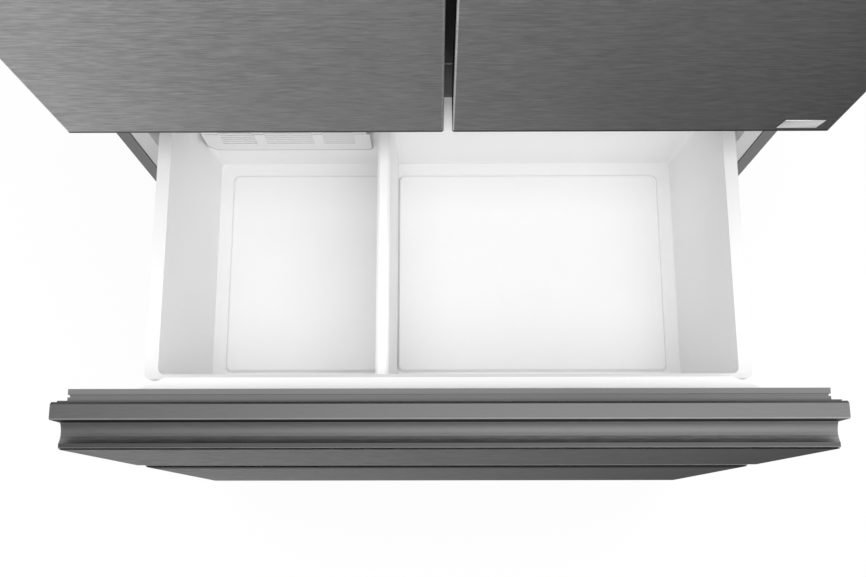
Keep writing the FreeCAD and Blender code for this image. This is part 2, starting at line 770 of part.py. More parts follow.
def flip_mullion():
    """Folding bar on the left door that both door gaskets close against."""
    bar = box(-mullion_half, mullion_half, flange, flange + mullion_thickness,
              mullion_low, mullion_high)
    bar = bar.makeFillet(4.0, edges_along(bar, V(0, 0, 1), lambda p: True))
    pins = []
    for level in (mullion_low + 120, mullion_high - 160):
        ear = box(mullion_axis_x - 4, -mullion_half + 4, mullion_axis_y - 4,
                  mullion_axis_y + 4, level, level + 40)
        pins.append(ear)
        pins.append(cyl(3.0, 64, mullion_axis_x, mullion_axis_y, level - 12))
    nub = cyl(4.0, 8, mullion_half - 12, flange + mullion_thickness / 2, mullion_high)
    save("flip_mullion", fuse([bar, nub] + pins))


door("right", lambda shape: shape)
door("left", mirror)
flip_mullion()


# ---- drawers (modelled where they stand, pulled out) -------------------------------
drawer_back = out_front + door_thickness
bar_front = out_front + grip_depth
bar_back = drawer_back - liner
channel_drop = grip_height
floor_gap = 4.5               # drawer box over the beam it passes


def grip_profile(top):
    """Bent profile of the grip: bar, wall, sagging channel and raised front lip."""
    channel = top - channel_drop
    lip_back = out_front + lip_width
    lip_front = out_front + skin + lip_seam
    mid = (bar_front + lip_back) / 2
    return [(lip_front, channel - 16), (lip_front, channel - 0.5),
            (lip_front + 1, channel + 0.5), (lip_back - 1.5, channel + 0.5),
            (lip_back, channel - 1),
            (mid, channel - channel_sag, bar_front, channel),
            (bar_front, top - 1.5), (bar_front + 1.5, top),
            (bar_back - bar_chamfer, top), (bar_back, top - bar_lid + 1),
            (bar_back, channel - 16)]


def drawer_front(name, low, top):
    """Steel front, grip profile, insulation, inner liner and gasket of one drawer."""
    seam = top - channel_drop - channel_sag - 3
    trim = prism_x(grip_profile(top), -half, half)
    trim = trim.cut(box(-half - 1, half + 1, out_front - 1, drawer_back, top - 200, seam))
    hollow = box(-half + 12, half - 12, bar_front + 2, bar_back + 1, top - 60,
                 top - bar_lid)
    trim = trim.cut(hollow)
    save(name + "_front_trim", trim)

    body = box(-half, half, out_front, drawer_back - liner, low, top - channel_drop)
    upright = edges_along(body, V(0, 0, 1), lambda p: p.y < out_front + 1)
    body = body.makeFillet(edge_radius, upright)
    above = box(-half - 1, half + 1, out_front + skin, drawer_back, seam, top)
    core = box(-half + skin, half - skin, out_front + skin, drawer_back - liner - skin,
               low + skin, seam + 1)
    mouth = box(-half + 14, half - 14, drawer_back - 3 * skin - liner, drawer_back,
                low + 14, seam + 1)
    save(name + "_front_skin", cut(body, [core, mouth, above]))
    pillow = box(-half + 14, half - 14, drawer_back - liner - skin, drawer_back - liner,
                 low + 14, seam)
    grip_foam = box(-half + 12, half - 12, bar_front + 2, bar_back, seam, top - bar_lid)
    low_core = box(-half + skin, half - skin, out_front + skin,
                   drawer_back - liner - skin, low + skin, seam)
    save(name + "_front_foam", fuse([low_core, pillow, grip_foam]))

    plate = box(-half + 5, half - 5, drawer_back - liner, drawer_back, low + 5,
                top - bar_lid - 3)
    step_y = drawer_back + inner_step
    base_low, base_high = low + inner_margin, top - inner_margin
    step = box(-inner_step_half, inner_step_half, drawer_back - 1, step_y, base_low,
               base_high)
    face_y = drawer_back + inner_rise
    foot = rectangle_xz(-inner_base_half, inner_base_half, base_low + 3, base_high - 3,
                        step_y - 1)
    tip = rectangle_xz(-inner_top_half, inner_top_half, base_low + 22, base_high - 9,
                       face_y)
    raised = Part.makeLoft([foot, tip], True, True)
    save(name + "_front_liner", fuse([plate, step, raised]))

    seal = ring(-half + gasket_inset, half - gasket_inset, low + gasket_inset,
                top - 10 - gasket_inset / 2, drawer_back, drawer_back + gasket_depth,
                gasket_width)
    groove = ring(-half + gasket_inset + 3, half - gasket_inset - 3,
                  low + gasket_inset + 3, top - 13 - gasket_inset / 2, drawer_back + 5,
                  drawer_back + 9, gasket_width - 6)
    notch = ring(-half + gasket_inset - 1, half - gasket_inset + 1,
                 low + gasket_inset - 1, top - 9 - gasket_inset / 2, drawer_back + 5,
                 drawer_back + 8, 3.0)
    save(name + "_gasket", cut(seal, [groove, notch]))
    return face_y


def rectangle_xz(x0, x1, z0, z1, y):
    """Upright rectangle as a wire."""
    return Part.makePolygon([V(x0, y, z0), V(x1, y, z0), V(x1, y, z1), V(x0, y, z1),
                             V(x0, y, z0)])


def drawer_space(inset, floor, rim, x0, x1, extra):
    """Drafted space of a drawer box, inset from its outer wall."""
    y0 = out_front + box_front
    y1 = y0 + box_length
    top_half = rim_half - rim_width + box_wall
    low = (max(x0, -top_half + box_draft) + inset, min(x1, top_half - box_draft) - inset,
           y0 + 12 + inset, y1 - 20 - inset)
    high = (max(x0, -top_half) + inset, min(x1, top_half) - inset, y0 + 3 + inset,
            y1 - 9 - inset)
    return tub(low, high, floor + inset, rim + extra, box_corner - inset, box_corner + 2 - inset)


def floor_panel(x0, x1, floor):
    """Raised, rounded panel of a drawer floor."""
    y0 = out_front + box_front + 40
    y1 = out_front + box_front + box_length - 42
    return tub((x0, x1, y0, y1), (x0 + 4, x1 - 4, y0 + 4, y1 - 4), floor - 1,
               floor + panel_raise, box_corner, box_corner - 2)


def drawer_box(name, floor, rim, panels):
    """Moulded box: drafted walls, folded rim with a skirt, raised floor panels."""
    y0 = out_front + box_front
    y1 = y0 + box_length
    body = drawer_space(0, floor, rim, -rim_half, rim_half, 0)
    lip = round_box(-rim_half, rim_half, y0, y1, rim - rim_skirt, rim, box_corner)
    under = round_box(-rim_half + 3, rim_half - 3, y0 + 3, y1 - 3, rim - rim_skirt - 1,
                      rim - 3, box_corner - 3)
    lip = lip.cut(under)
    inside = drawer_space(box_wall, floor, rim, -rim_half, rim_half, 1)
    shell = cut(fuse([body, lip]), [inside])
    raised = [floor_panel(x0, x1, floor + box_wall) for x0, x1 in panels]
    return fuse([shell] + raised)


def vent_panel(floor):
    """Slatted panel on the back wall of the upper drawer's left compartment."""
    y1 = out_front + box_front + box_length - 20 - box_wall
    z0, z1 = floor + 60, floor + 128
    frame = box(-344, -112, y1 - 1.5, y1 + 12, z0, z1)
    frame = frame.makeFillet(18.0, edges_along(frame, V(0, 1, 0), lambda p: p.z < z0 + 1))
    frame = frame.common(drawer_space(1.2, floor, upper_rim, -rim_half, rim_half, 0))
    slats = []
    for x0, x1 in ((-332, -300), (-282, -214), (-196, -164)):
        for row in range(7):
            low = z0 + 10 + row * 7
            slats.append(box(x0, x1, y1 - 2, y1 - 0.3, low, low + 3.5))
    return cut(frame, slats)


def slide_channel(high, thick, sheet, x_open, z_mid):
    """C-section rail opening toward the drawer, as an outline of (x, z) points."""
    z0, z1 = z_mid - high / 2, z_mid + high / 2
    back = x_open + thick
    return [(x_open, z0), (back, z0), (back, z1), (x_open, z1), (x_open, z1 - sheet),
            (back - sheet, z1 - sheet), (back - sheet, z0 + sheet), (x_open, z0 + sheet)]


def slides(name, foot_low, floor_half, rail_y):
    """Inner, middle and fixed members of the pair of telescopic slides."""
    z_mid = foot_low + slide_lift + slide_height / 2
    y_inner = (drawer_back + inner_rise,
               out_front + box_front + box_length - 6)
    inner_high = slide_height - 4 * (slide_sheet + slide_fit)
    x0 = slide_face
    inner = prism_y(slide_channel(inner_high, 4.5, slide_sheet, x0, z_mid), *y_inner)
    web = box(x0 - slide_sheet, x0, y_inner[0], y_inner[1], foot_low, z_mid + inner_high / 2)
    foot = box(floor_half - 42, x0, y_inner[0], y_inner[1], foot_low,
               foot_low + slide_sheet)
    tab = box(x0 - 50, x0, y_inner[0], y_inner[0] + slide_sheet, foot_low,
              z_mid + inner_high / 2)
    tie = box(-x0, x0, y_inner[1] - 24, y_inner[1] - 2, foot_low, foot_low + slide_sheet)
    side = fuse([inner, web, foot, tab])
    save(name + "_inner_slides", fuse([side, mirror(side), tie]))

    mid_high = slide_height - 2 * (slide_sheet + slide_fit)
    mid_y = (rail_y - drawer_out / 2, rail_y - drawer_out / 2 + slide_length)
    middle = prism_y(slide_channel(mid_high, 8.5 - slide_fit, slide_sheet,
                                   x0 + slide_sheet, z_mid), *mid_y)
    save(name + "_middle_slides", pair(middle))

    outer = prism_y(slide_channel(slide_height, 12.0, slide_sheet, x0 + slide_sheet,
                                  z_mid), rail_y, rail_y + slide_length)
    wall_x = x0 + slide_sheet + 12.0
    blocks = []
    for place in (rail_y + 16, rail_y + slide_length - 70):
        blocks.append(round_box(wall_x, inner_half, place, place + 54,
                                z_mid - slide_height / 2 + 3, z_mid + slide_height / 2 - 3,
                                3))
    return pair(fuse([outer] + blocks))


upper_rim = upper_top - box_rim_drop
lower_rim = lower_top - box_rim_drop
upper_floor = drawer_beam_high + floor_gap + slide_sheet
lower_floor = sill_top + floor_gap + slide_sheet
rail_start = flange + 10
floor_half = rim_half - rim_width + box_wall - box_draft

drawer_front("upper", upper_bottom, upper_top)
drawer_front("lower", lower_bottom, lower_top)

divider_half = divider_thickness / 2
left_panel = (-floor_half + 21, divider_x - divider_half - 2)
right_panel = (divider_x + divider_half + 2, floor_half - 22)
upper_box = drawer_box("upper", upper_floor, upper_rim, (left_panel, right_panel))
save("upper_box", fuse([upper_box, vent_panel(upper_floor)]))
save("lower_box", drawer_box("lower", lower_floor, lower_rim,
                             ((-floor_half + 21, floor_half - 22),)))


def upper_divider():
    """Upright divider across the upper box, thicker toward its foot."""
    inside = drawer_space(box_wall + 0.2, upper_floor, upper_rim, -rim_half, rim_half, 1)
    low, high = upper_floor + box_wall, upper_rim - 5
    points = [(divider_x - divider_half, low), (divider_x + divider_half + 3, low),
              (divider_x + divider_half, high - 3), (divider_x + divider_half - 3, high),
              (divider_x - divider_half + 3, high), (divider_x - divider_half, high - 3)]
    y0 = out_front + box_front
    plate = prism_y(points, y0, y0 + box_length)
    panels = [floor_panel(*left_panel, upper_floor + box_wall),
              floor_panel(*right_panel, upper_floor + box_wall)]
    save("upper_divider", cut(plate.common(inside), panels + [vent_panel(upper_floor)]))


upper_divider()
upper_rails = slides("upper", drawer_beam_high + floor_gap, floor_half, rail_start)
lower_rails = slides("lower", sill_top + floor_gap, floor_half, rail_start)
save("fixed_slides", Part.makeCompound([upper_rails, lower_rails]))
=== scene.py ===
"""Looks of the refrigerator with its two freezer drawers open, seen from above."""

import json
import math

import bpy
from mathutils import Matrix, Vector


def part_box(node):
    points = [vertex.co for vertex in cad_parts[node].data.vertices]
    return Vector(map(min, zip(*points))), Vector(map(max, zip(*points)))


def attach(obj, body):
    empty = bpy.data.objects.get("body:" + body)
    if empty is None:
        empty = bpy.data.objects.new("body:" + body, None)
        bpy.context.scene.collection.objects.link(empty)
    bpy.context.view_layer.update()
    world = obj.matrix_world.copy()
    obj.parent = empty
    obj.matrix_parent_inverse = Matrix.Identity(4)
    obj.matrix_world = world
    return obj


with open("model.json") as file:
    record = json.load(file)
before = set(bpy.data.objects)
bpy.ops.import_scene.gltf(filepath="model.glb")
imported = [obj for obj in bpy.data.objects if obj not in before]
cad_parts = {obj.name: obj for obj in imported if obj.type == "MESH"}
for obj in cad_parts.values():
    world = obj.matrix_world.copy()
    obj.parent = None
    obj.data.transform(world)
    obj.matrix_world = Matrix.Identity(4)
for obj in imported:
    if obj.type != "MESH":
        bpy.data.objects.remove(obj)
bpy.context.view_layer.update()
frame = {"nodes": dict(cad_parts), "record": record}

bpy.context.scene.view_settings.view_transform = "Standard"

# ---- places, in metres, worked out from the frame ----------------------------------
door_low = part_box("right_door_caps")[0].z
front_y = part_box("right_door_skin")[0].y      # front face of the closed doors
half_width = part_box("cabinet_shell")[1].x
flange_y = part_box("freezer_liner")[0].y       # front edge of the freezer liner
box_back_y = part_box("upper_box")[1].y         # rear edge of the upper drawer box

# ---- camera: measured against the door fronts and the doors' lower edge -------------
lens_mm = 42.28
sensor_mm = 36.0
view_depth = 50.0
camera_side = -0.0133
camera_before_doors = 0.4564
camera_over_door_edge = 1.1401
camera_tilt = math.radians(13.069)
camera_roll = math.radians(0.255)
camera_turn = math.radians(-0.134)


def make_camera():
    """Camera at the photograph's viewing angle, above the open drawers."""
    lens = bpy.data.cameras.new("camera")
    lens.lens = lens_mm
    lens.sensor_width = sensor_mm
    lens.clip_end = view_depth
    camera = bpy.data.objects.new("camera", lens)
    bpy.context.collection.objects.link(camera)
    camera.location = (camera_side, front_y - camera_before_doors,
                       door_low + camera_over_door_edge)
    camera.rotation_mode = "YXZ"
    camera.rotation_euler = (camera_tilt, camera_roll, camera_turn)
    bpy.context.scene.camera = camera


# ---- material helpers --------------------------------------------------------------
def grey(level):
    """Neutral colour of one level."""
    return (level, level, level)


def facing(axis, low, high):
    """Zone test on the surface normal."""
    return ("facing", axis, low, high)


def place(axis, low, high):
    """Zone test on the place in the frame, in metres."""
    return ("place", axis, low, high)


class Finish:
    """A material with its shader and short ways to add texture nodes."""

    def __init__(self, name, colour, roughness, metallic=0.0, **sockets):
        self.material = bpy.data.materials.new(name)
        self.material.use_nodes = True
        self.tree = self.material.node_tree
        self.shader = self.tree.nodes["Principled BSDF"]
        self.shader.inputs["Base Color"].default_value = (*colour, 1.0)
        self.shader.inputs["Roughness"].default_value = roughness
        self.shader.inputs["Metallic"].default_value = metallic
        for socket, value in sockets.items():
            self.shader.inputs[socket.replace("_", " ")].default_value = value
        self.coordinates = self.tree.nodes.new("ShaderNodeTexCoord")

    def node(self, kind, **settings):
        """A new node with its settings."""
        made = self.tree.nodes.new(kind)
        for key, value in settings.items():
            setattr(made, key, value)
        return made

    def link(self, source, target):
        """Join two sockets."""
        self.tree.links.new(source, target)

    def noise(self, scale, stretch=(1, 1, 1), detail=4.0, roughness=0.55):
        """Noise on object coordinates, stretched by axis."""
        mapping = self.node("ShaderNodeMapping")
        mapping.inputs["Scale"].default_value = stretch
        self.link(self.coordinates.outputs["Object"], mapping.inputs["Vector"])
        noise = self.node("ShaderNodeTexNoise")
        noise.inputs["Scale"].default_value = scale
        noise.inputs["Detail"].default_value = detail
        noise.inputs["Roughness"].default_value = roughness
        self.link(mapping.outputs["Vector"], noise.inputs["Vector"])
        return noise.outputs["Fac"]

    def ramp(self, factor, low, high, start=0.3, end=0.7):
        """Colours between two levels of a factor."""
        ramp = self.node("ShaderNodeValToRGB")
        ramp.color_ramp.elements[0].position = start
        ramp.color_ramp.elements[0].color = (*low, 1.0)
        ramp.color_ramp.elements[1].position = end
        ramp.color_ramp.elements[1].color = (*high, 1.0)
        self.link(factor, ramp.inputs["Fac"])
        return ramp.outputs["Color"]

    def spread(self, factor, low, high, start=0.3, end=0.7):
        """A number between low and high that follows a factor."""
        spread = self.node("ShaderNodeMapRange")
        spread.inputs["From Min"].default_value = start
        spread.inputs["From Max"].default_value = end
        spread.inputs["To Min"].default_value = low
        spread.inputs["To Max"].default_value = high
        self.link(factor, spread.inputs["Value"])
        return spread.outputs["Result"]

    def split(self, source):
        """The X, Y and Z outputs of a texture coordinate."""
        parts = self.node("ShaderNodeSeparateXYZ")
        self.link(self.coordinates.outputs[source], parts.inputs[0])
        return parts.outputs

    def times(self, first, second):
        """The product of two numbers."""
        product = self.node("ShaderNodeMath", operation="MULTIPLY")
        self.link(first, product.inputs[0])
        self.link(second, product.inputs[1])
        return product.outputs[0]

    def inside(self, parts, tests):
        """1 where each (kind, axis, low, high) test of place or facing holds."""
        mask = None
        for kind, axis, low, high in tests:
            test = self.node("ShaderNodeMath", operation="COMPARE")
            self.link(parts[kind][axis], test.inputs[0])
            test.inputs[1].default_value = (low + high) / 2
            test.inputs[2].default_value = (high - low) / 2
            mask = test.outputs[0] if mask is None else self.times(mask, test.outputs[0])
        return mask

    def zoned(self, colour, shade, zones):
        """A colour scaled by a shade and by the level of each zone it lies in, the zones
        being painted light and shade.

        A level is a number, or (level, low, high) to fade to it between two heights.
        """
        parts = {"place": self.split("Object"), "facing": self.split("Normal")}
        for tests, level in zones:
            blend = self.node("ShaderNodeMapRange")
            blend.inputs["To Min"].default_value = 1.0
            self.link(self.inside(parts, tests), blend.inputs["Value"])
            if isinstance(level, tuple):
                height = parts["place"]["Z"]
                self.link(self.spread(height, 1.0, *level), blend.inputs["To Max"])
            else:
                blend.inputs["To Max"].default_value = level
            shade = self.times(shade, blend.outputs["Result"])
        scale = self.node("ShaderNodeVectorMath", operation="SCALE")
        self.link(colour, scale.inputs[0])
        self.link(shade, scale.inputs["Scale"])
        return scale.outputs["Vector"]

    def colour(self, output):
        """Feed the base colour."""
        self.link(output, self.shader.inputs["Base Color"])

    def gloss(self, output):
        """Feed the roughness."""
        self.link(output, self.shader.inputs["Roughness"])

    def bump(self, factor, distance, strength=1.0):
        """Feed the normal with a height."""
        bump = self.node("ShaderNodeBump")
        bump.inputs["Distance"].default_value = distance
        bump.inputs["Strength"].default_value = strength
        self.link(factor, bump.inputs["Height"])
        self.link(bump.outputs["Normal"], self.shader.inputs["Normal"])


brush_lines = (46, 400, 400)        # lines to the metre along X, and across on Y and Z
grazing_tint = (*grey(0.45), 1.0)


def brushed(name, left, right, roughness, streak, zones):
    """Steel with short level brush lines, and painted light that changes across the width
    from the left colour to the right one.
    """
    finish = Finish(name, left, roughness, metallic=1.0, Specular_Tint=grazing_tint)
    lines = finish.noise(1.0, brush_lines, detail=3.0, roughness=0.6)
    across = finish.node("ShaderNodeMapRange")
    across.inputs["From Min"].default_value = -half_width
    across.inputs["From Max"].default_value = half_width
    finish.link(finish.split("Object")["X"], across.inputs["Value"])
    painted_light_across = finish.ramp(across.outputs["Result"], left, right, 0.0, 1.0)
    finish.colour(finish.zoned(painted_light_across, finish.spread(lines, 1 - streak, 1 + streak), zones))
    finish.gloss(finish.spread(lines, roughness - 0.04, roughness + 0.04))
    finish.bump(lines, 0.00002, 0.2)
    return finish.material


def plastic(name, colour, shade, roughness, grain=900.0, height=0.00002, zones=()):
    """Moulded plastic with a faint cloudiness and a fine grain."""
    finish = Finish(name, colour, roughness)
    cloud = finish.noise(5.0, detail=2.0)
    grain_noise = finish.noise(grain, detail=2.0)
    tone = finish.spread(grain_noise, 0.99, 1.01)
    finish.colour(finish.zoned(finish.ramp(cloud, shade, colour), tone, zones))
    finish.gloss(finish.spread(grain_noise, roughness - 0.05, roughness + 0.05))
    finish.bump(grain_noise, height, 0.3)
    return finish.material


def painted(name, colour, shade, roughness, specular=0.5, coat=0.2):
    """Painted or coated sheet with faint orange peel."""
    finish = Finish(name, colour, roughness, Specular_IOR_Level=specular,
                    Coat_Weight=coat)
    peel = finish.noise(350.0, detail=1.0)
    cloud = finish.noise(3.0, detail=2.0)
    finish.colour(finish.ramp(cloud, shade, colour))
    finish.bump(peel, 0.00003, 0.3)
    return finish.material


def bare_metal(name, colour, shade, roughness):
    """Zinc-plated or mill-finish metal with soft blotches."""
    finish = Finish(name, colour, roughness, metallic=1.0)
    blotch = finish.noise(24.0, detail=5.0)
    finish.colour(finish.ramp(blotch, shade, colour))
    finish.gloss(finish.spread(blotch, roughness - 0.08, roughness + 0.08))
    return finish.material


# ---- zones: painted light and shade on parts of a piece ----------------------------
painted_edge_light_zones = [
    ([facing("X", -0.92, -0.2)], 2.4),      # painted highlight on rounded edges that face left
    ([facing("X", 0.2, 0.92)], 1.25),       # painted highlight on rounded edges that face right
    ([facing("X", -1.1, -0.92)], 0.3),      # painted shade on the sides
    ([facing("X", 0.92, 1.1)], 0.3),
]
door_foot_shade_zones = [([place("Z", door_low, door_low + 0.0045)], 0.3)]    # painted shade along the rolled lower edge
# painted shade on the front face of the freezer liner's flange
flange_shade_zones = [([facing("Y", -1.1, -0.9),
                  place("Y", flange_y - 0.00125, flange_y + 0.00125)], 0.55)]
vent_shade_zones = [
    ([facing("Z", -1.1, -0.3)], 0.35),      # painted shadow under the slats
    ([facing("Z", 0.3, 1.1)], 0.75),        # painted shade on top of them
    ([facing("X", -1.1, -0.5)], 0.4),       # painted shade at their ends
    ([facing("X", 0.5, 1.1)], 0.4),
]


def front_skin_shade_zones():
    """Painted shade on the top edges of the fronts, and a painted shadow strip at the top of
    the lower front, below the upper drawer.
    """
    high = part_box("lower_front_skin")[1].z
    return [([facing("Z", 0.9, 1.1)], 0.12),
            ([place("Z", high - 0.040, high + 0.001)], 0.3)]


def box_shade_zones():
    """Painted shade: rims below full white, the back rim darker, and the back wall fading
    darker upwards in the shade of the cabinet.
    """
    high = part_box("upper_box")[1].z
    rim = [facing("Z", 0.9, 1.1), place("Z", high - 0.002, high + 0.001)]
    behind = box_back_y - 0.00075
    back_rim = place("Y", box_back_y - 0.02075, behind)
    back_wall = [facing("Y", -1.1, -0.9), place("Y", box_back_y - 0.04575, behind)]
    return [(rim, 0.82),
            (rim + [back_rim], 0.25),
            (back_wall, (0.38, high - 0.105, high - 0.015))]


grip_height = 0.0362        # top of the bar down to the lip
lip_depth = 0.0300
channel_depth = 0.0600


def grip_steel(name, lip_shade_level):
    """Steel of one grip with painted light: painted shade on upright faces and the lip top,
    painted highlights on the edges, and painted light in the channel as if lit from above.
    """
    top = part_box(name + "_front_trim")[1].z
    grip = place("Z", top - grip_height, top + 0.001)
    lip = place("Z", top - grip_height, top - lip_depth)
    channel = place("Z", top - channel_depth, top - grip_height)
    zones = [
        ([facing("Y", -1.1, -0.92)], 0.45),             # painted shade on upright faces
        ([facing("Y", -0.92, -0.3), grip], 2.6),        # painted highlight on front edges
        # painted shade on the top of the lip
        ([facing("Z", 0.92, 1.1), lip], lip_shade_level),
        ([facing("Y", 0.55, 0.9), lip], 2.6),           # painted highlight on the inner edge of the lip
        ([facing("Y", 0.1, 0.95), channel], 1.4),       # painted light at the foot of the channel
        # more painted light where the channel floor tilts further
        ([facing("Y", 0.35, 0.95), channel], 1.5),
    ]
    return brushed("brushed_steel_" + name + "_grip", grey(0.10), grey(0.14), 0.5, 0.09,
                   zones)


def front_liner_plastic(name):
    """White liner of a drawer front, dark where the grip bar shades its upper edge."""
    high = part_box(name + "_front_liner")[1].z
    return plastic(name + "_front_liner_plastic", grey(0.95), grey(0.93), 0.4,
                   zones=[([place("Z", high - 0.012, high + 0.001)], 0.06)])


# ---- finishes ----------------------------------------------------------------------
def make_finishes():
    """All finishes by name."""
    return {
        # left and right colours of each steel are painted light across the width
        "door_steel": brushed("brushed_steel_doors", grey(0.42), grey(0.10), 0.6, 0.21,
                              painted_edge_light_zones + door_foot_shade_zones),
        "front_steel": brushed("brushed_steel_drawer_fronts", grey(0.226), grey(0.063),
                               0.6, 0.45, painted_edge_light_zones + front_skin_shade_zones()),
        # the two grip steels differ only in the painted shade on the lip, darker on the lower
        # grip under the upper drawer
        "upper_trim_steel": grip_steel("upper", 0.56),
        "lower_trim_steel_shaded": grip_steel("lower", 0.2),
        "cabinet": painted("grey_cabinet_paint", grey(0.062), grey(0.055), 0.42, 0.35),
        "beam": painted("dark_beam_paint", grey(0.045), grey(0.040), 0.5, 0.1, 0.0),
        "white": plastic("white_drawer_plastic", grey(0.95), grey(0.93), 0.4,
                         zones=box_shade_zones()),
        "liner": plastic("white_liner_plastic", grey(0.90), grey(0.88), 0.4,
                         zones=flange_shade_zones),
        "upper_front_liner": front_liner_plastic("upper"),
        "lower_front_liner": front_liner_plastic("lower"),
        "vent": plastic("vent_grille_plastic", grey(0.86), grey(0.84), 0.45,
                        zones=vent_shade_zones),
        "vent_seam": plastic("vent_seam_plastic", grey(0.40), grey(0.38), 0.5),
        "clear": clear_plastic(),
        "grey": plastic("grey_end_cap_plastic", (0.17, 0.17, 0.175),
                        (0.14, 0.14, 0.145), 0.45),
        "black": plastic("black_plastic", (0.03, 0.03, 0.032), (0.02, 0.02, 0.022), 0.5),
        "seal_black": plastic("black_seal_plastic", grey(0.006), grey(0.005), 0.6),
        "rubber": plastic("grey_gasket_rubber", grey(0.16), grey(0.14), 0.6, 1500.0),
        "dark_rubber": plastic("dark_gasket_rubber", grey(0.03), grey(0.02), 0.6, 1500.0),
        "foam": plastic("pale_foam", (0.72, 0.66, 0.46), (0.64, 0.58, 0.40), 0.9, 400.0,
                        0.0004),
        "zinc": bare_metal("zinc_plated_steel", (0.62, 0.63, 0.64), (0.50, 0.51, 0.52),
                           0.35),
        "aluminium": bare_metal("mill_aluminium", (0.75, 0.76, 0.77),
                                (0.66, 0.67, 0.68), 0.35),
        "black_steel": painted("black_compressor_paint", grey(0.03), grey(0.02), 0.35),
        "glass": shelf_glass(),
        "lens": light_lens(),
        "badge": bare_metal("polished_badge", grey(0.56), grey(0.50), 0.3),
    }


def clear_plastic():
    """Clear moulded plastic of the bins and crispers."""
    finish = Finish("clear_bin_plastic", (0.93, 0.95, 0.96), 0.08,
                    Transmission_Weight=0.85, IOR=1.46)
    ripple = finish.noise(30.0, detail=1.0)
    finish.bump(ripple, 0.0004, 0.15)
    return finish.material


def shelf_glass():
    """Tempered glass with a faint green body."""
    finish = Finish("shelf_glass", (0.86, 0.95, 0.91), 0.03, Transmission_Weight=0.9,
                    IOR=1.5)
    ripple = finish.noise(8.0, detail=1.0)
    finish.bump(ripple, 0.0002, 0.05)
    return finish.material


def light_lens():
    """Frosted lens of the ceiling lamp."""
    finish = Finish("frosted_lens", (0.92, 0.92, 0.90), 0.4, Transmission_Weight=0.3)
    frost = finish.noise(700.0, detail=2.0)
    finish.bump(frost, 0.0001, 0.3)
    return finish.material


finish_of_slot = {
    "brushed_steel": "door_steel",
    "trim_steel": "upper_trim_steel",
    "cabinet_paint": "cabinet",
    "white_plastic": "white",
    "liner_plastic": "liner",
    "clear_plastic": "clear",
    "grey_plastic": "grey",
    "black_plastic": "black",
    "gasket_rubber": "rubber",
    "foam": "foam",
    "bare_steel": "zinc",
    "aluminium": "aluminium",
    "black_steel": "black_steel",
    "shelf_glass": "glass",
    "lens": "lens",
}


finish_of_node = {
    "upper_front_liner": "upper_front_liner",
    "lower_front_liner": "lower_front_liner",
    "lower_front_trim": "lower_trim_steel_shaded",
    "cross_beams": "beam",
    "left_door_caps": "black",
    "right_door_caps": "black",
    "upper_front_skin": "front_steel",
    "lower_front_skin": "front_steel",
    "flip_mullion": "seal_black",
    "left_door_gasket": "dark_rubber",
    "right_door_gasket": "dark_rubber",
}


def dress_nodes(finishes):
    """Give every CAD node the finish of its material slot."""
    slot_of = {row["node"]: row["material_slot"] for row in frame["record"]["subparts"]}
    for name, piece in frame["nodes"].items():
        piece.data.materials.clear()
        finish = finish_of_node.get(name, finish_of_slot[slot_of[name]])
        piece.data.materials.append(finishes[finish])


# ---- small pieces ------------------------------------------------------------------
badge_length = 0.047
badge_height = 0.0225
badge_slant = 0.004
badge_thickness = 0.0012
badge_from_edge = 0.020
badge_over_edge = 0.0125
badge_bevel = 0.0004
smooth_below = math.radians(32)
touch = 0.0001                # how near counts as on an edge
bedding = 0.0002              # how deep a raised piece is bedded in the one behind it


def new_cube(name, low, high):
    """Cube primitive of a given size and place, its place kept in its mesh."""
    bpy.ops.object.select_all(action="DESELECT")
    centre = (Vector(low) + Vector(high)) / 2
    size = Vector(high) - Vector(low)
    bpy.ops.mesh.primitive_cube_add(size=1.0, location=centre, scale=size)
    piece = bpy.context.object
    piece.name = name
    bpy.ops.object.transform_apply(location=True, rotation=True, scale=True)
    return piece


def select_where(piece, test):
    """Select the vertices that pass the test, in edit mode."""
    bpy.ops.object.mode_set(mode="EDIT")
    bpy.ops.mesh.select_mode(type="VERT")
    bpy.ops.mesh.select_all(action="DESELECT")
    bpy.ops.object.mode_set(mode="OBJECT")
    for vertex in piece.data.vertices:
        vertex.select = test(vertex.co)
    bpy.ops.object.mode_set(mode="EDIT")


def smooth(piece):
    """Smooth shading across faces that meet at a small angle."""
    bpy.ops.object.select_all(action="DESELECT")
    piece.select_set(True)
    bpy.context.view_layer.objects.active = piece
    bpy.ops.object.shade_smooth_by_angle(angle=smooth_below)


def make_badge(finish):
    """Bare slanted plate low on the right door."""
    right = half_width - badge_from_edge
    low = (right - badge_length, front_y - badge_thickness, door_low + badge_over_edge)
    high = (right, front_y + bedding, door_low + badge_over_edge + badge_height)
    badge = new_cube("badge_plate", low, high)
    select_where(badge, lambda co: co.z > low[2] + badge_height / 2)
    bpy.ops.transform.translate(value=(badge_slant, 0, 0))
    bpy.ops.mesh.select_all(action="SELECT")
    bpy.ops.mesh.bevel(offset=badge_bevel, segments=2, affect="EDGES")
    bpy.ops.object.mode_set(mode="OBJECT")
    badge.data.materials.append(finish)
    smooth(badge)
    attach(badge, "right_door")


# ---- vent grille on the back wall of the left compartment ---------------------------
vent_left = -0.3438
vent_right = -0.1075
vent_low = 0.6845
vent_high = 0.743
vent_face = -0.10375          # front face of the moulded panel behind the grille
vent_thickness = 0.0005
vent_bedding = 0.0003
vent_corners = ((-1, 0.022, 8), (1, 0.007, 4))      # side, radius and steps of each
seam_margin = 0.0024
seam_thickness = 0.0002
slat_groups = ((-0.319, -0.271), (-0.256, -0.189), (-0.174, -0.130))
slat_first = 0.0225           # lower edge of the plate to the first slat
slat_rows = 6
slat_pitch = 0.0077
slat_height = 0.0042
slat_depth = 0.0009


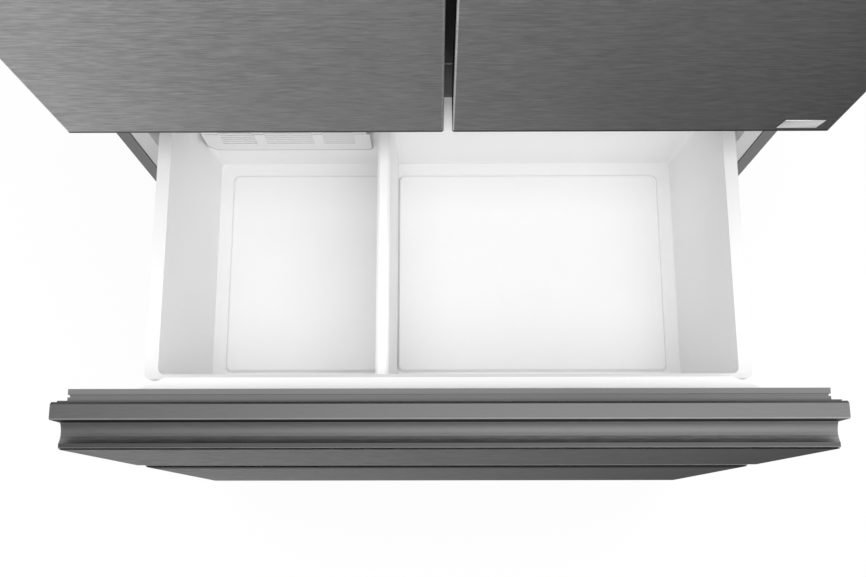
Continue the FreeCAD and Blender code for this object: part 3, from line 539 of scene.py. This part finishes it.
def vent_plate(name, margin, front):
    """Plate with rounded lower corners, larger than the grille by a margin."""
    plate = new_cube(name, (vent_left - margin, front, vent_low - margin),
                     (vent_right + margin, vent_face + vent_bedding, vent_high))
    for side, radius, steps in vent_corners:
        edge = max(side * vent_left, side * vent_right)
        select_where(plate, lambda co: side * co.x > edge - touch and co.z < vent_low + touch)
        bpy.ops.mesh.bevel(offset=radius + margin, segments=steps, affect="EDGES")
        bpy.ops.object.mode_set(mode="OBJECT")
    return plate


def make_vent(finish, seam_finish):
    """Grille plate with three groups of slats over a darker seam plate."""
    front = vent_face - vent_thickness
    seam = vent_plate("vent_seam", seam_margin, vent_face - seam_thickness)
    seam.data.materials.append(seam_finish)
    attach(seam, "upper_drawer")
    plate = vent_plate("vent_grille", 0.0, front)
    slats = []
    for left, right in slat_groups:
        for row in range(slat_rows):
            low = vent_low + slat_first + row * slat_pitch
            slats.append(new_cube("slat", (left, front - slat_depth, low),
                                  (right, front + bedding, low + slat_height)))
    bpy.ops.object.select_all(action="DESELECT")
    for slat in slats:
        slat.select_set(True)
    plate.select_set(True)
    bpy.context.view_layer.objects.active = plate
    bpy.ops.object.join()
    plate.data.materials.append(finish)
    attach(plate, "upper_drawer")


# ---- floor and light ---------------------------------------------------------------
floor_size = 30.0
floor_white = 0.9             # share of white that the camera sees in the floor
aim_before_doors = 0.1                # the lamps aim at a point this far before the doors
aim_height = 0.9


def make_floor():
    """Plain pale floor that shows white to the camera but keeps the shadow."""
    bpy.ops.object.select_all(action="DESELECT")
    bpy.ops.mesh.primitive_plane_add(size=floor_size, location=(0, 0, 0))
    floor = bpy.context.object
    floor.name = "floor"
    floor.data.materials.append(floor_material())


def floor_material():
    """Matt pale floor, brought to white where the camera or a reflection sees it."""
    material = bpy.data.materials.new("pale_floor")
    material.use_nodes = True
    nodes, links = material.node_tree.nodes, material.node_tree.links
    shader = nodes["Principled BSDF"]
    shader.inputs["Base Color"].default_value = (*grey(0.86), 1.0)
    shader.inputs["Roughness"].default_value = 0.9
    glow = nodes.new("ShaderNodeEmission")
    glow.inputs["Color"].default_value = (*grey(1.0), 1.0)
    path = nodes.new("ShaderNodeLightPath")
    seen = path.outputs["Is Camera Ray"]
    for kind in ("Is Glossy Ray", "Is Transmission Ray"):
        either = nodes.new("ShaderNodeMath")
        either.operation = "MAXIMUM"
        links.new(seen, either.inputs[0])
        links.new(path.outputs[kind], either.inputs[1])
        seen = either.outputs[0]
    share = nodes.new("ShaderNodeMath")
    share.operation = "MULTIPLY"
    share.inputs[1].default_value = floor_white
    mix = nodes.new("ShaderNodeMixShader")
    links.new(seen, share.inputs[0])
    links.new(share.outputs[0], mix.inputs["Fac"])
    links.new(shader.outputs[0], mix.inputs[1])
    links.new(glow.outputs[0], mix.inputs[2])
    links.new(mix.outputs[0], nodes["Material Output"].inputs["Surface"])
    return material


def area_light(name, spot, aim, size, power):
    """Square soft box aimed at a point."""
    data = bpy.data.lights.new(name, "AREA")
    data.shape = "SQUARE"
    data.size = size
    data.energy = power
    lamp = bpy.data.objects.new(name, data)
    bpy.context.collection.objects.link(lamp)
    lamp.location = spot
    turn = (Vector(aim) - Vector(spot)).to_track_quat("-Z", "Y")
    lamp.rotation_euler = turn.to_euler()


def make_light():
    """Soft studio light: a big box overhead, a smaller one at the front and a pale sky."""
    aim = (0.0, front_y - aim_before_doors, aim_height)
    area_light("overhead_box", (0.3, front_y - 0.4, 4.2), aim, 3.0, 72.0)
    area_light("front_box", (0.9, front_y - 2.0, 3.5), aim, 2.6, 22.0)
    world = bpy.data.worlds.new("studio")
    bpy.context.scene.world = world
    world.use_nodes = True
    sky = world.node_tree.nodes["Background"]
    sky.inputs["Color"].default_value = (*grey(1.0), 1.0)
    sky.inputs["Strength"].default_value = 1.0


finishes = make_finishes()
dress_nodes(finishes)
make_badge(finishes["badge"])
make_vent(finishes["vent"], finishes["vent_seam"])
make_floor()
make_light()
make_camera()
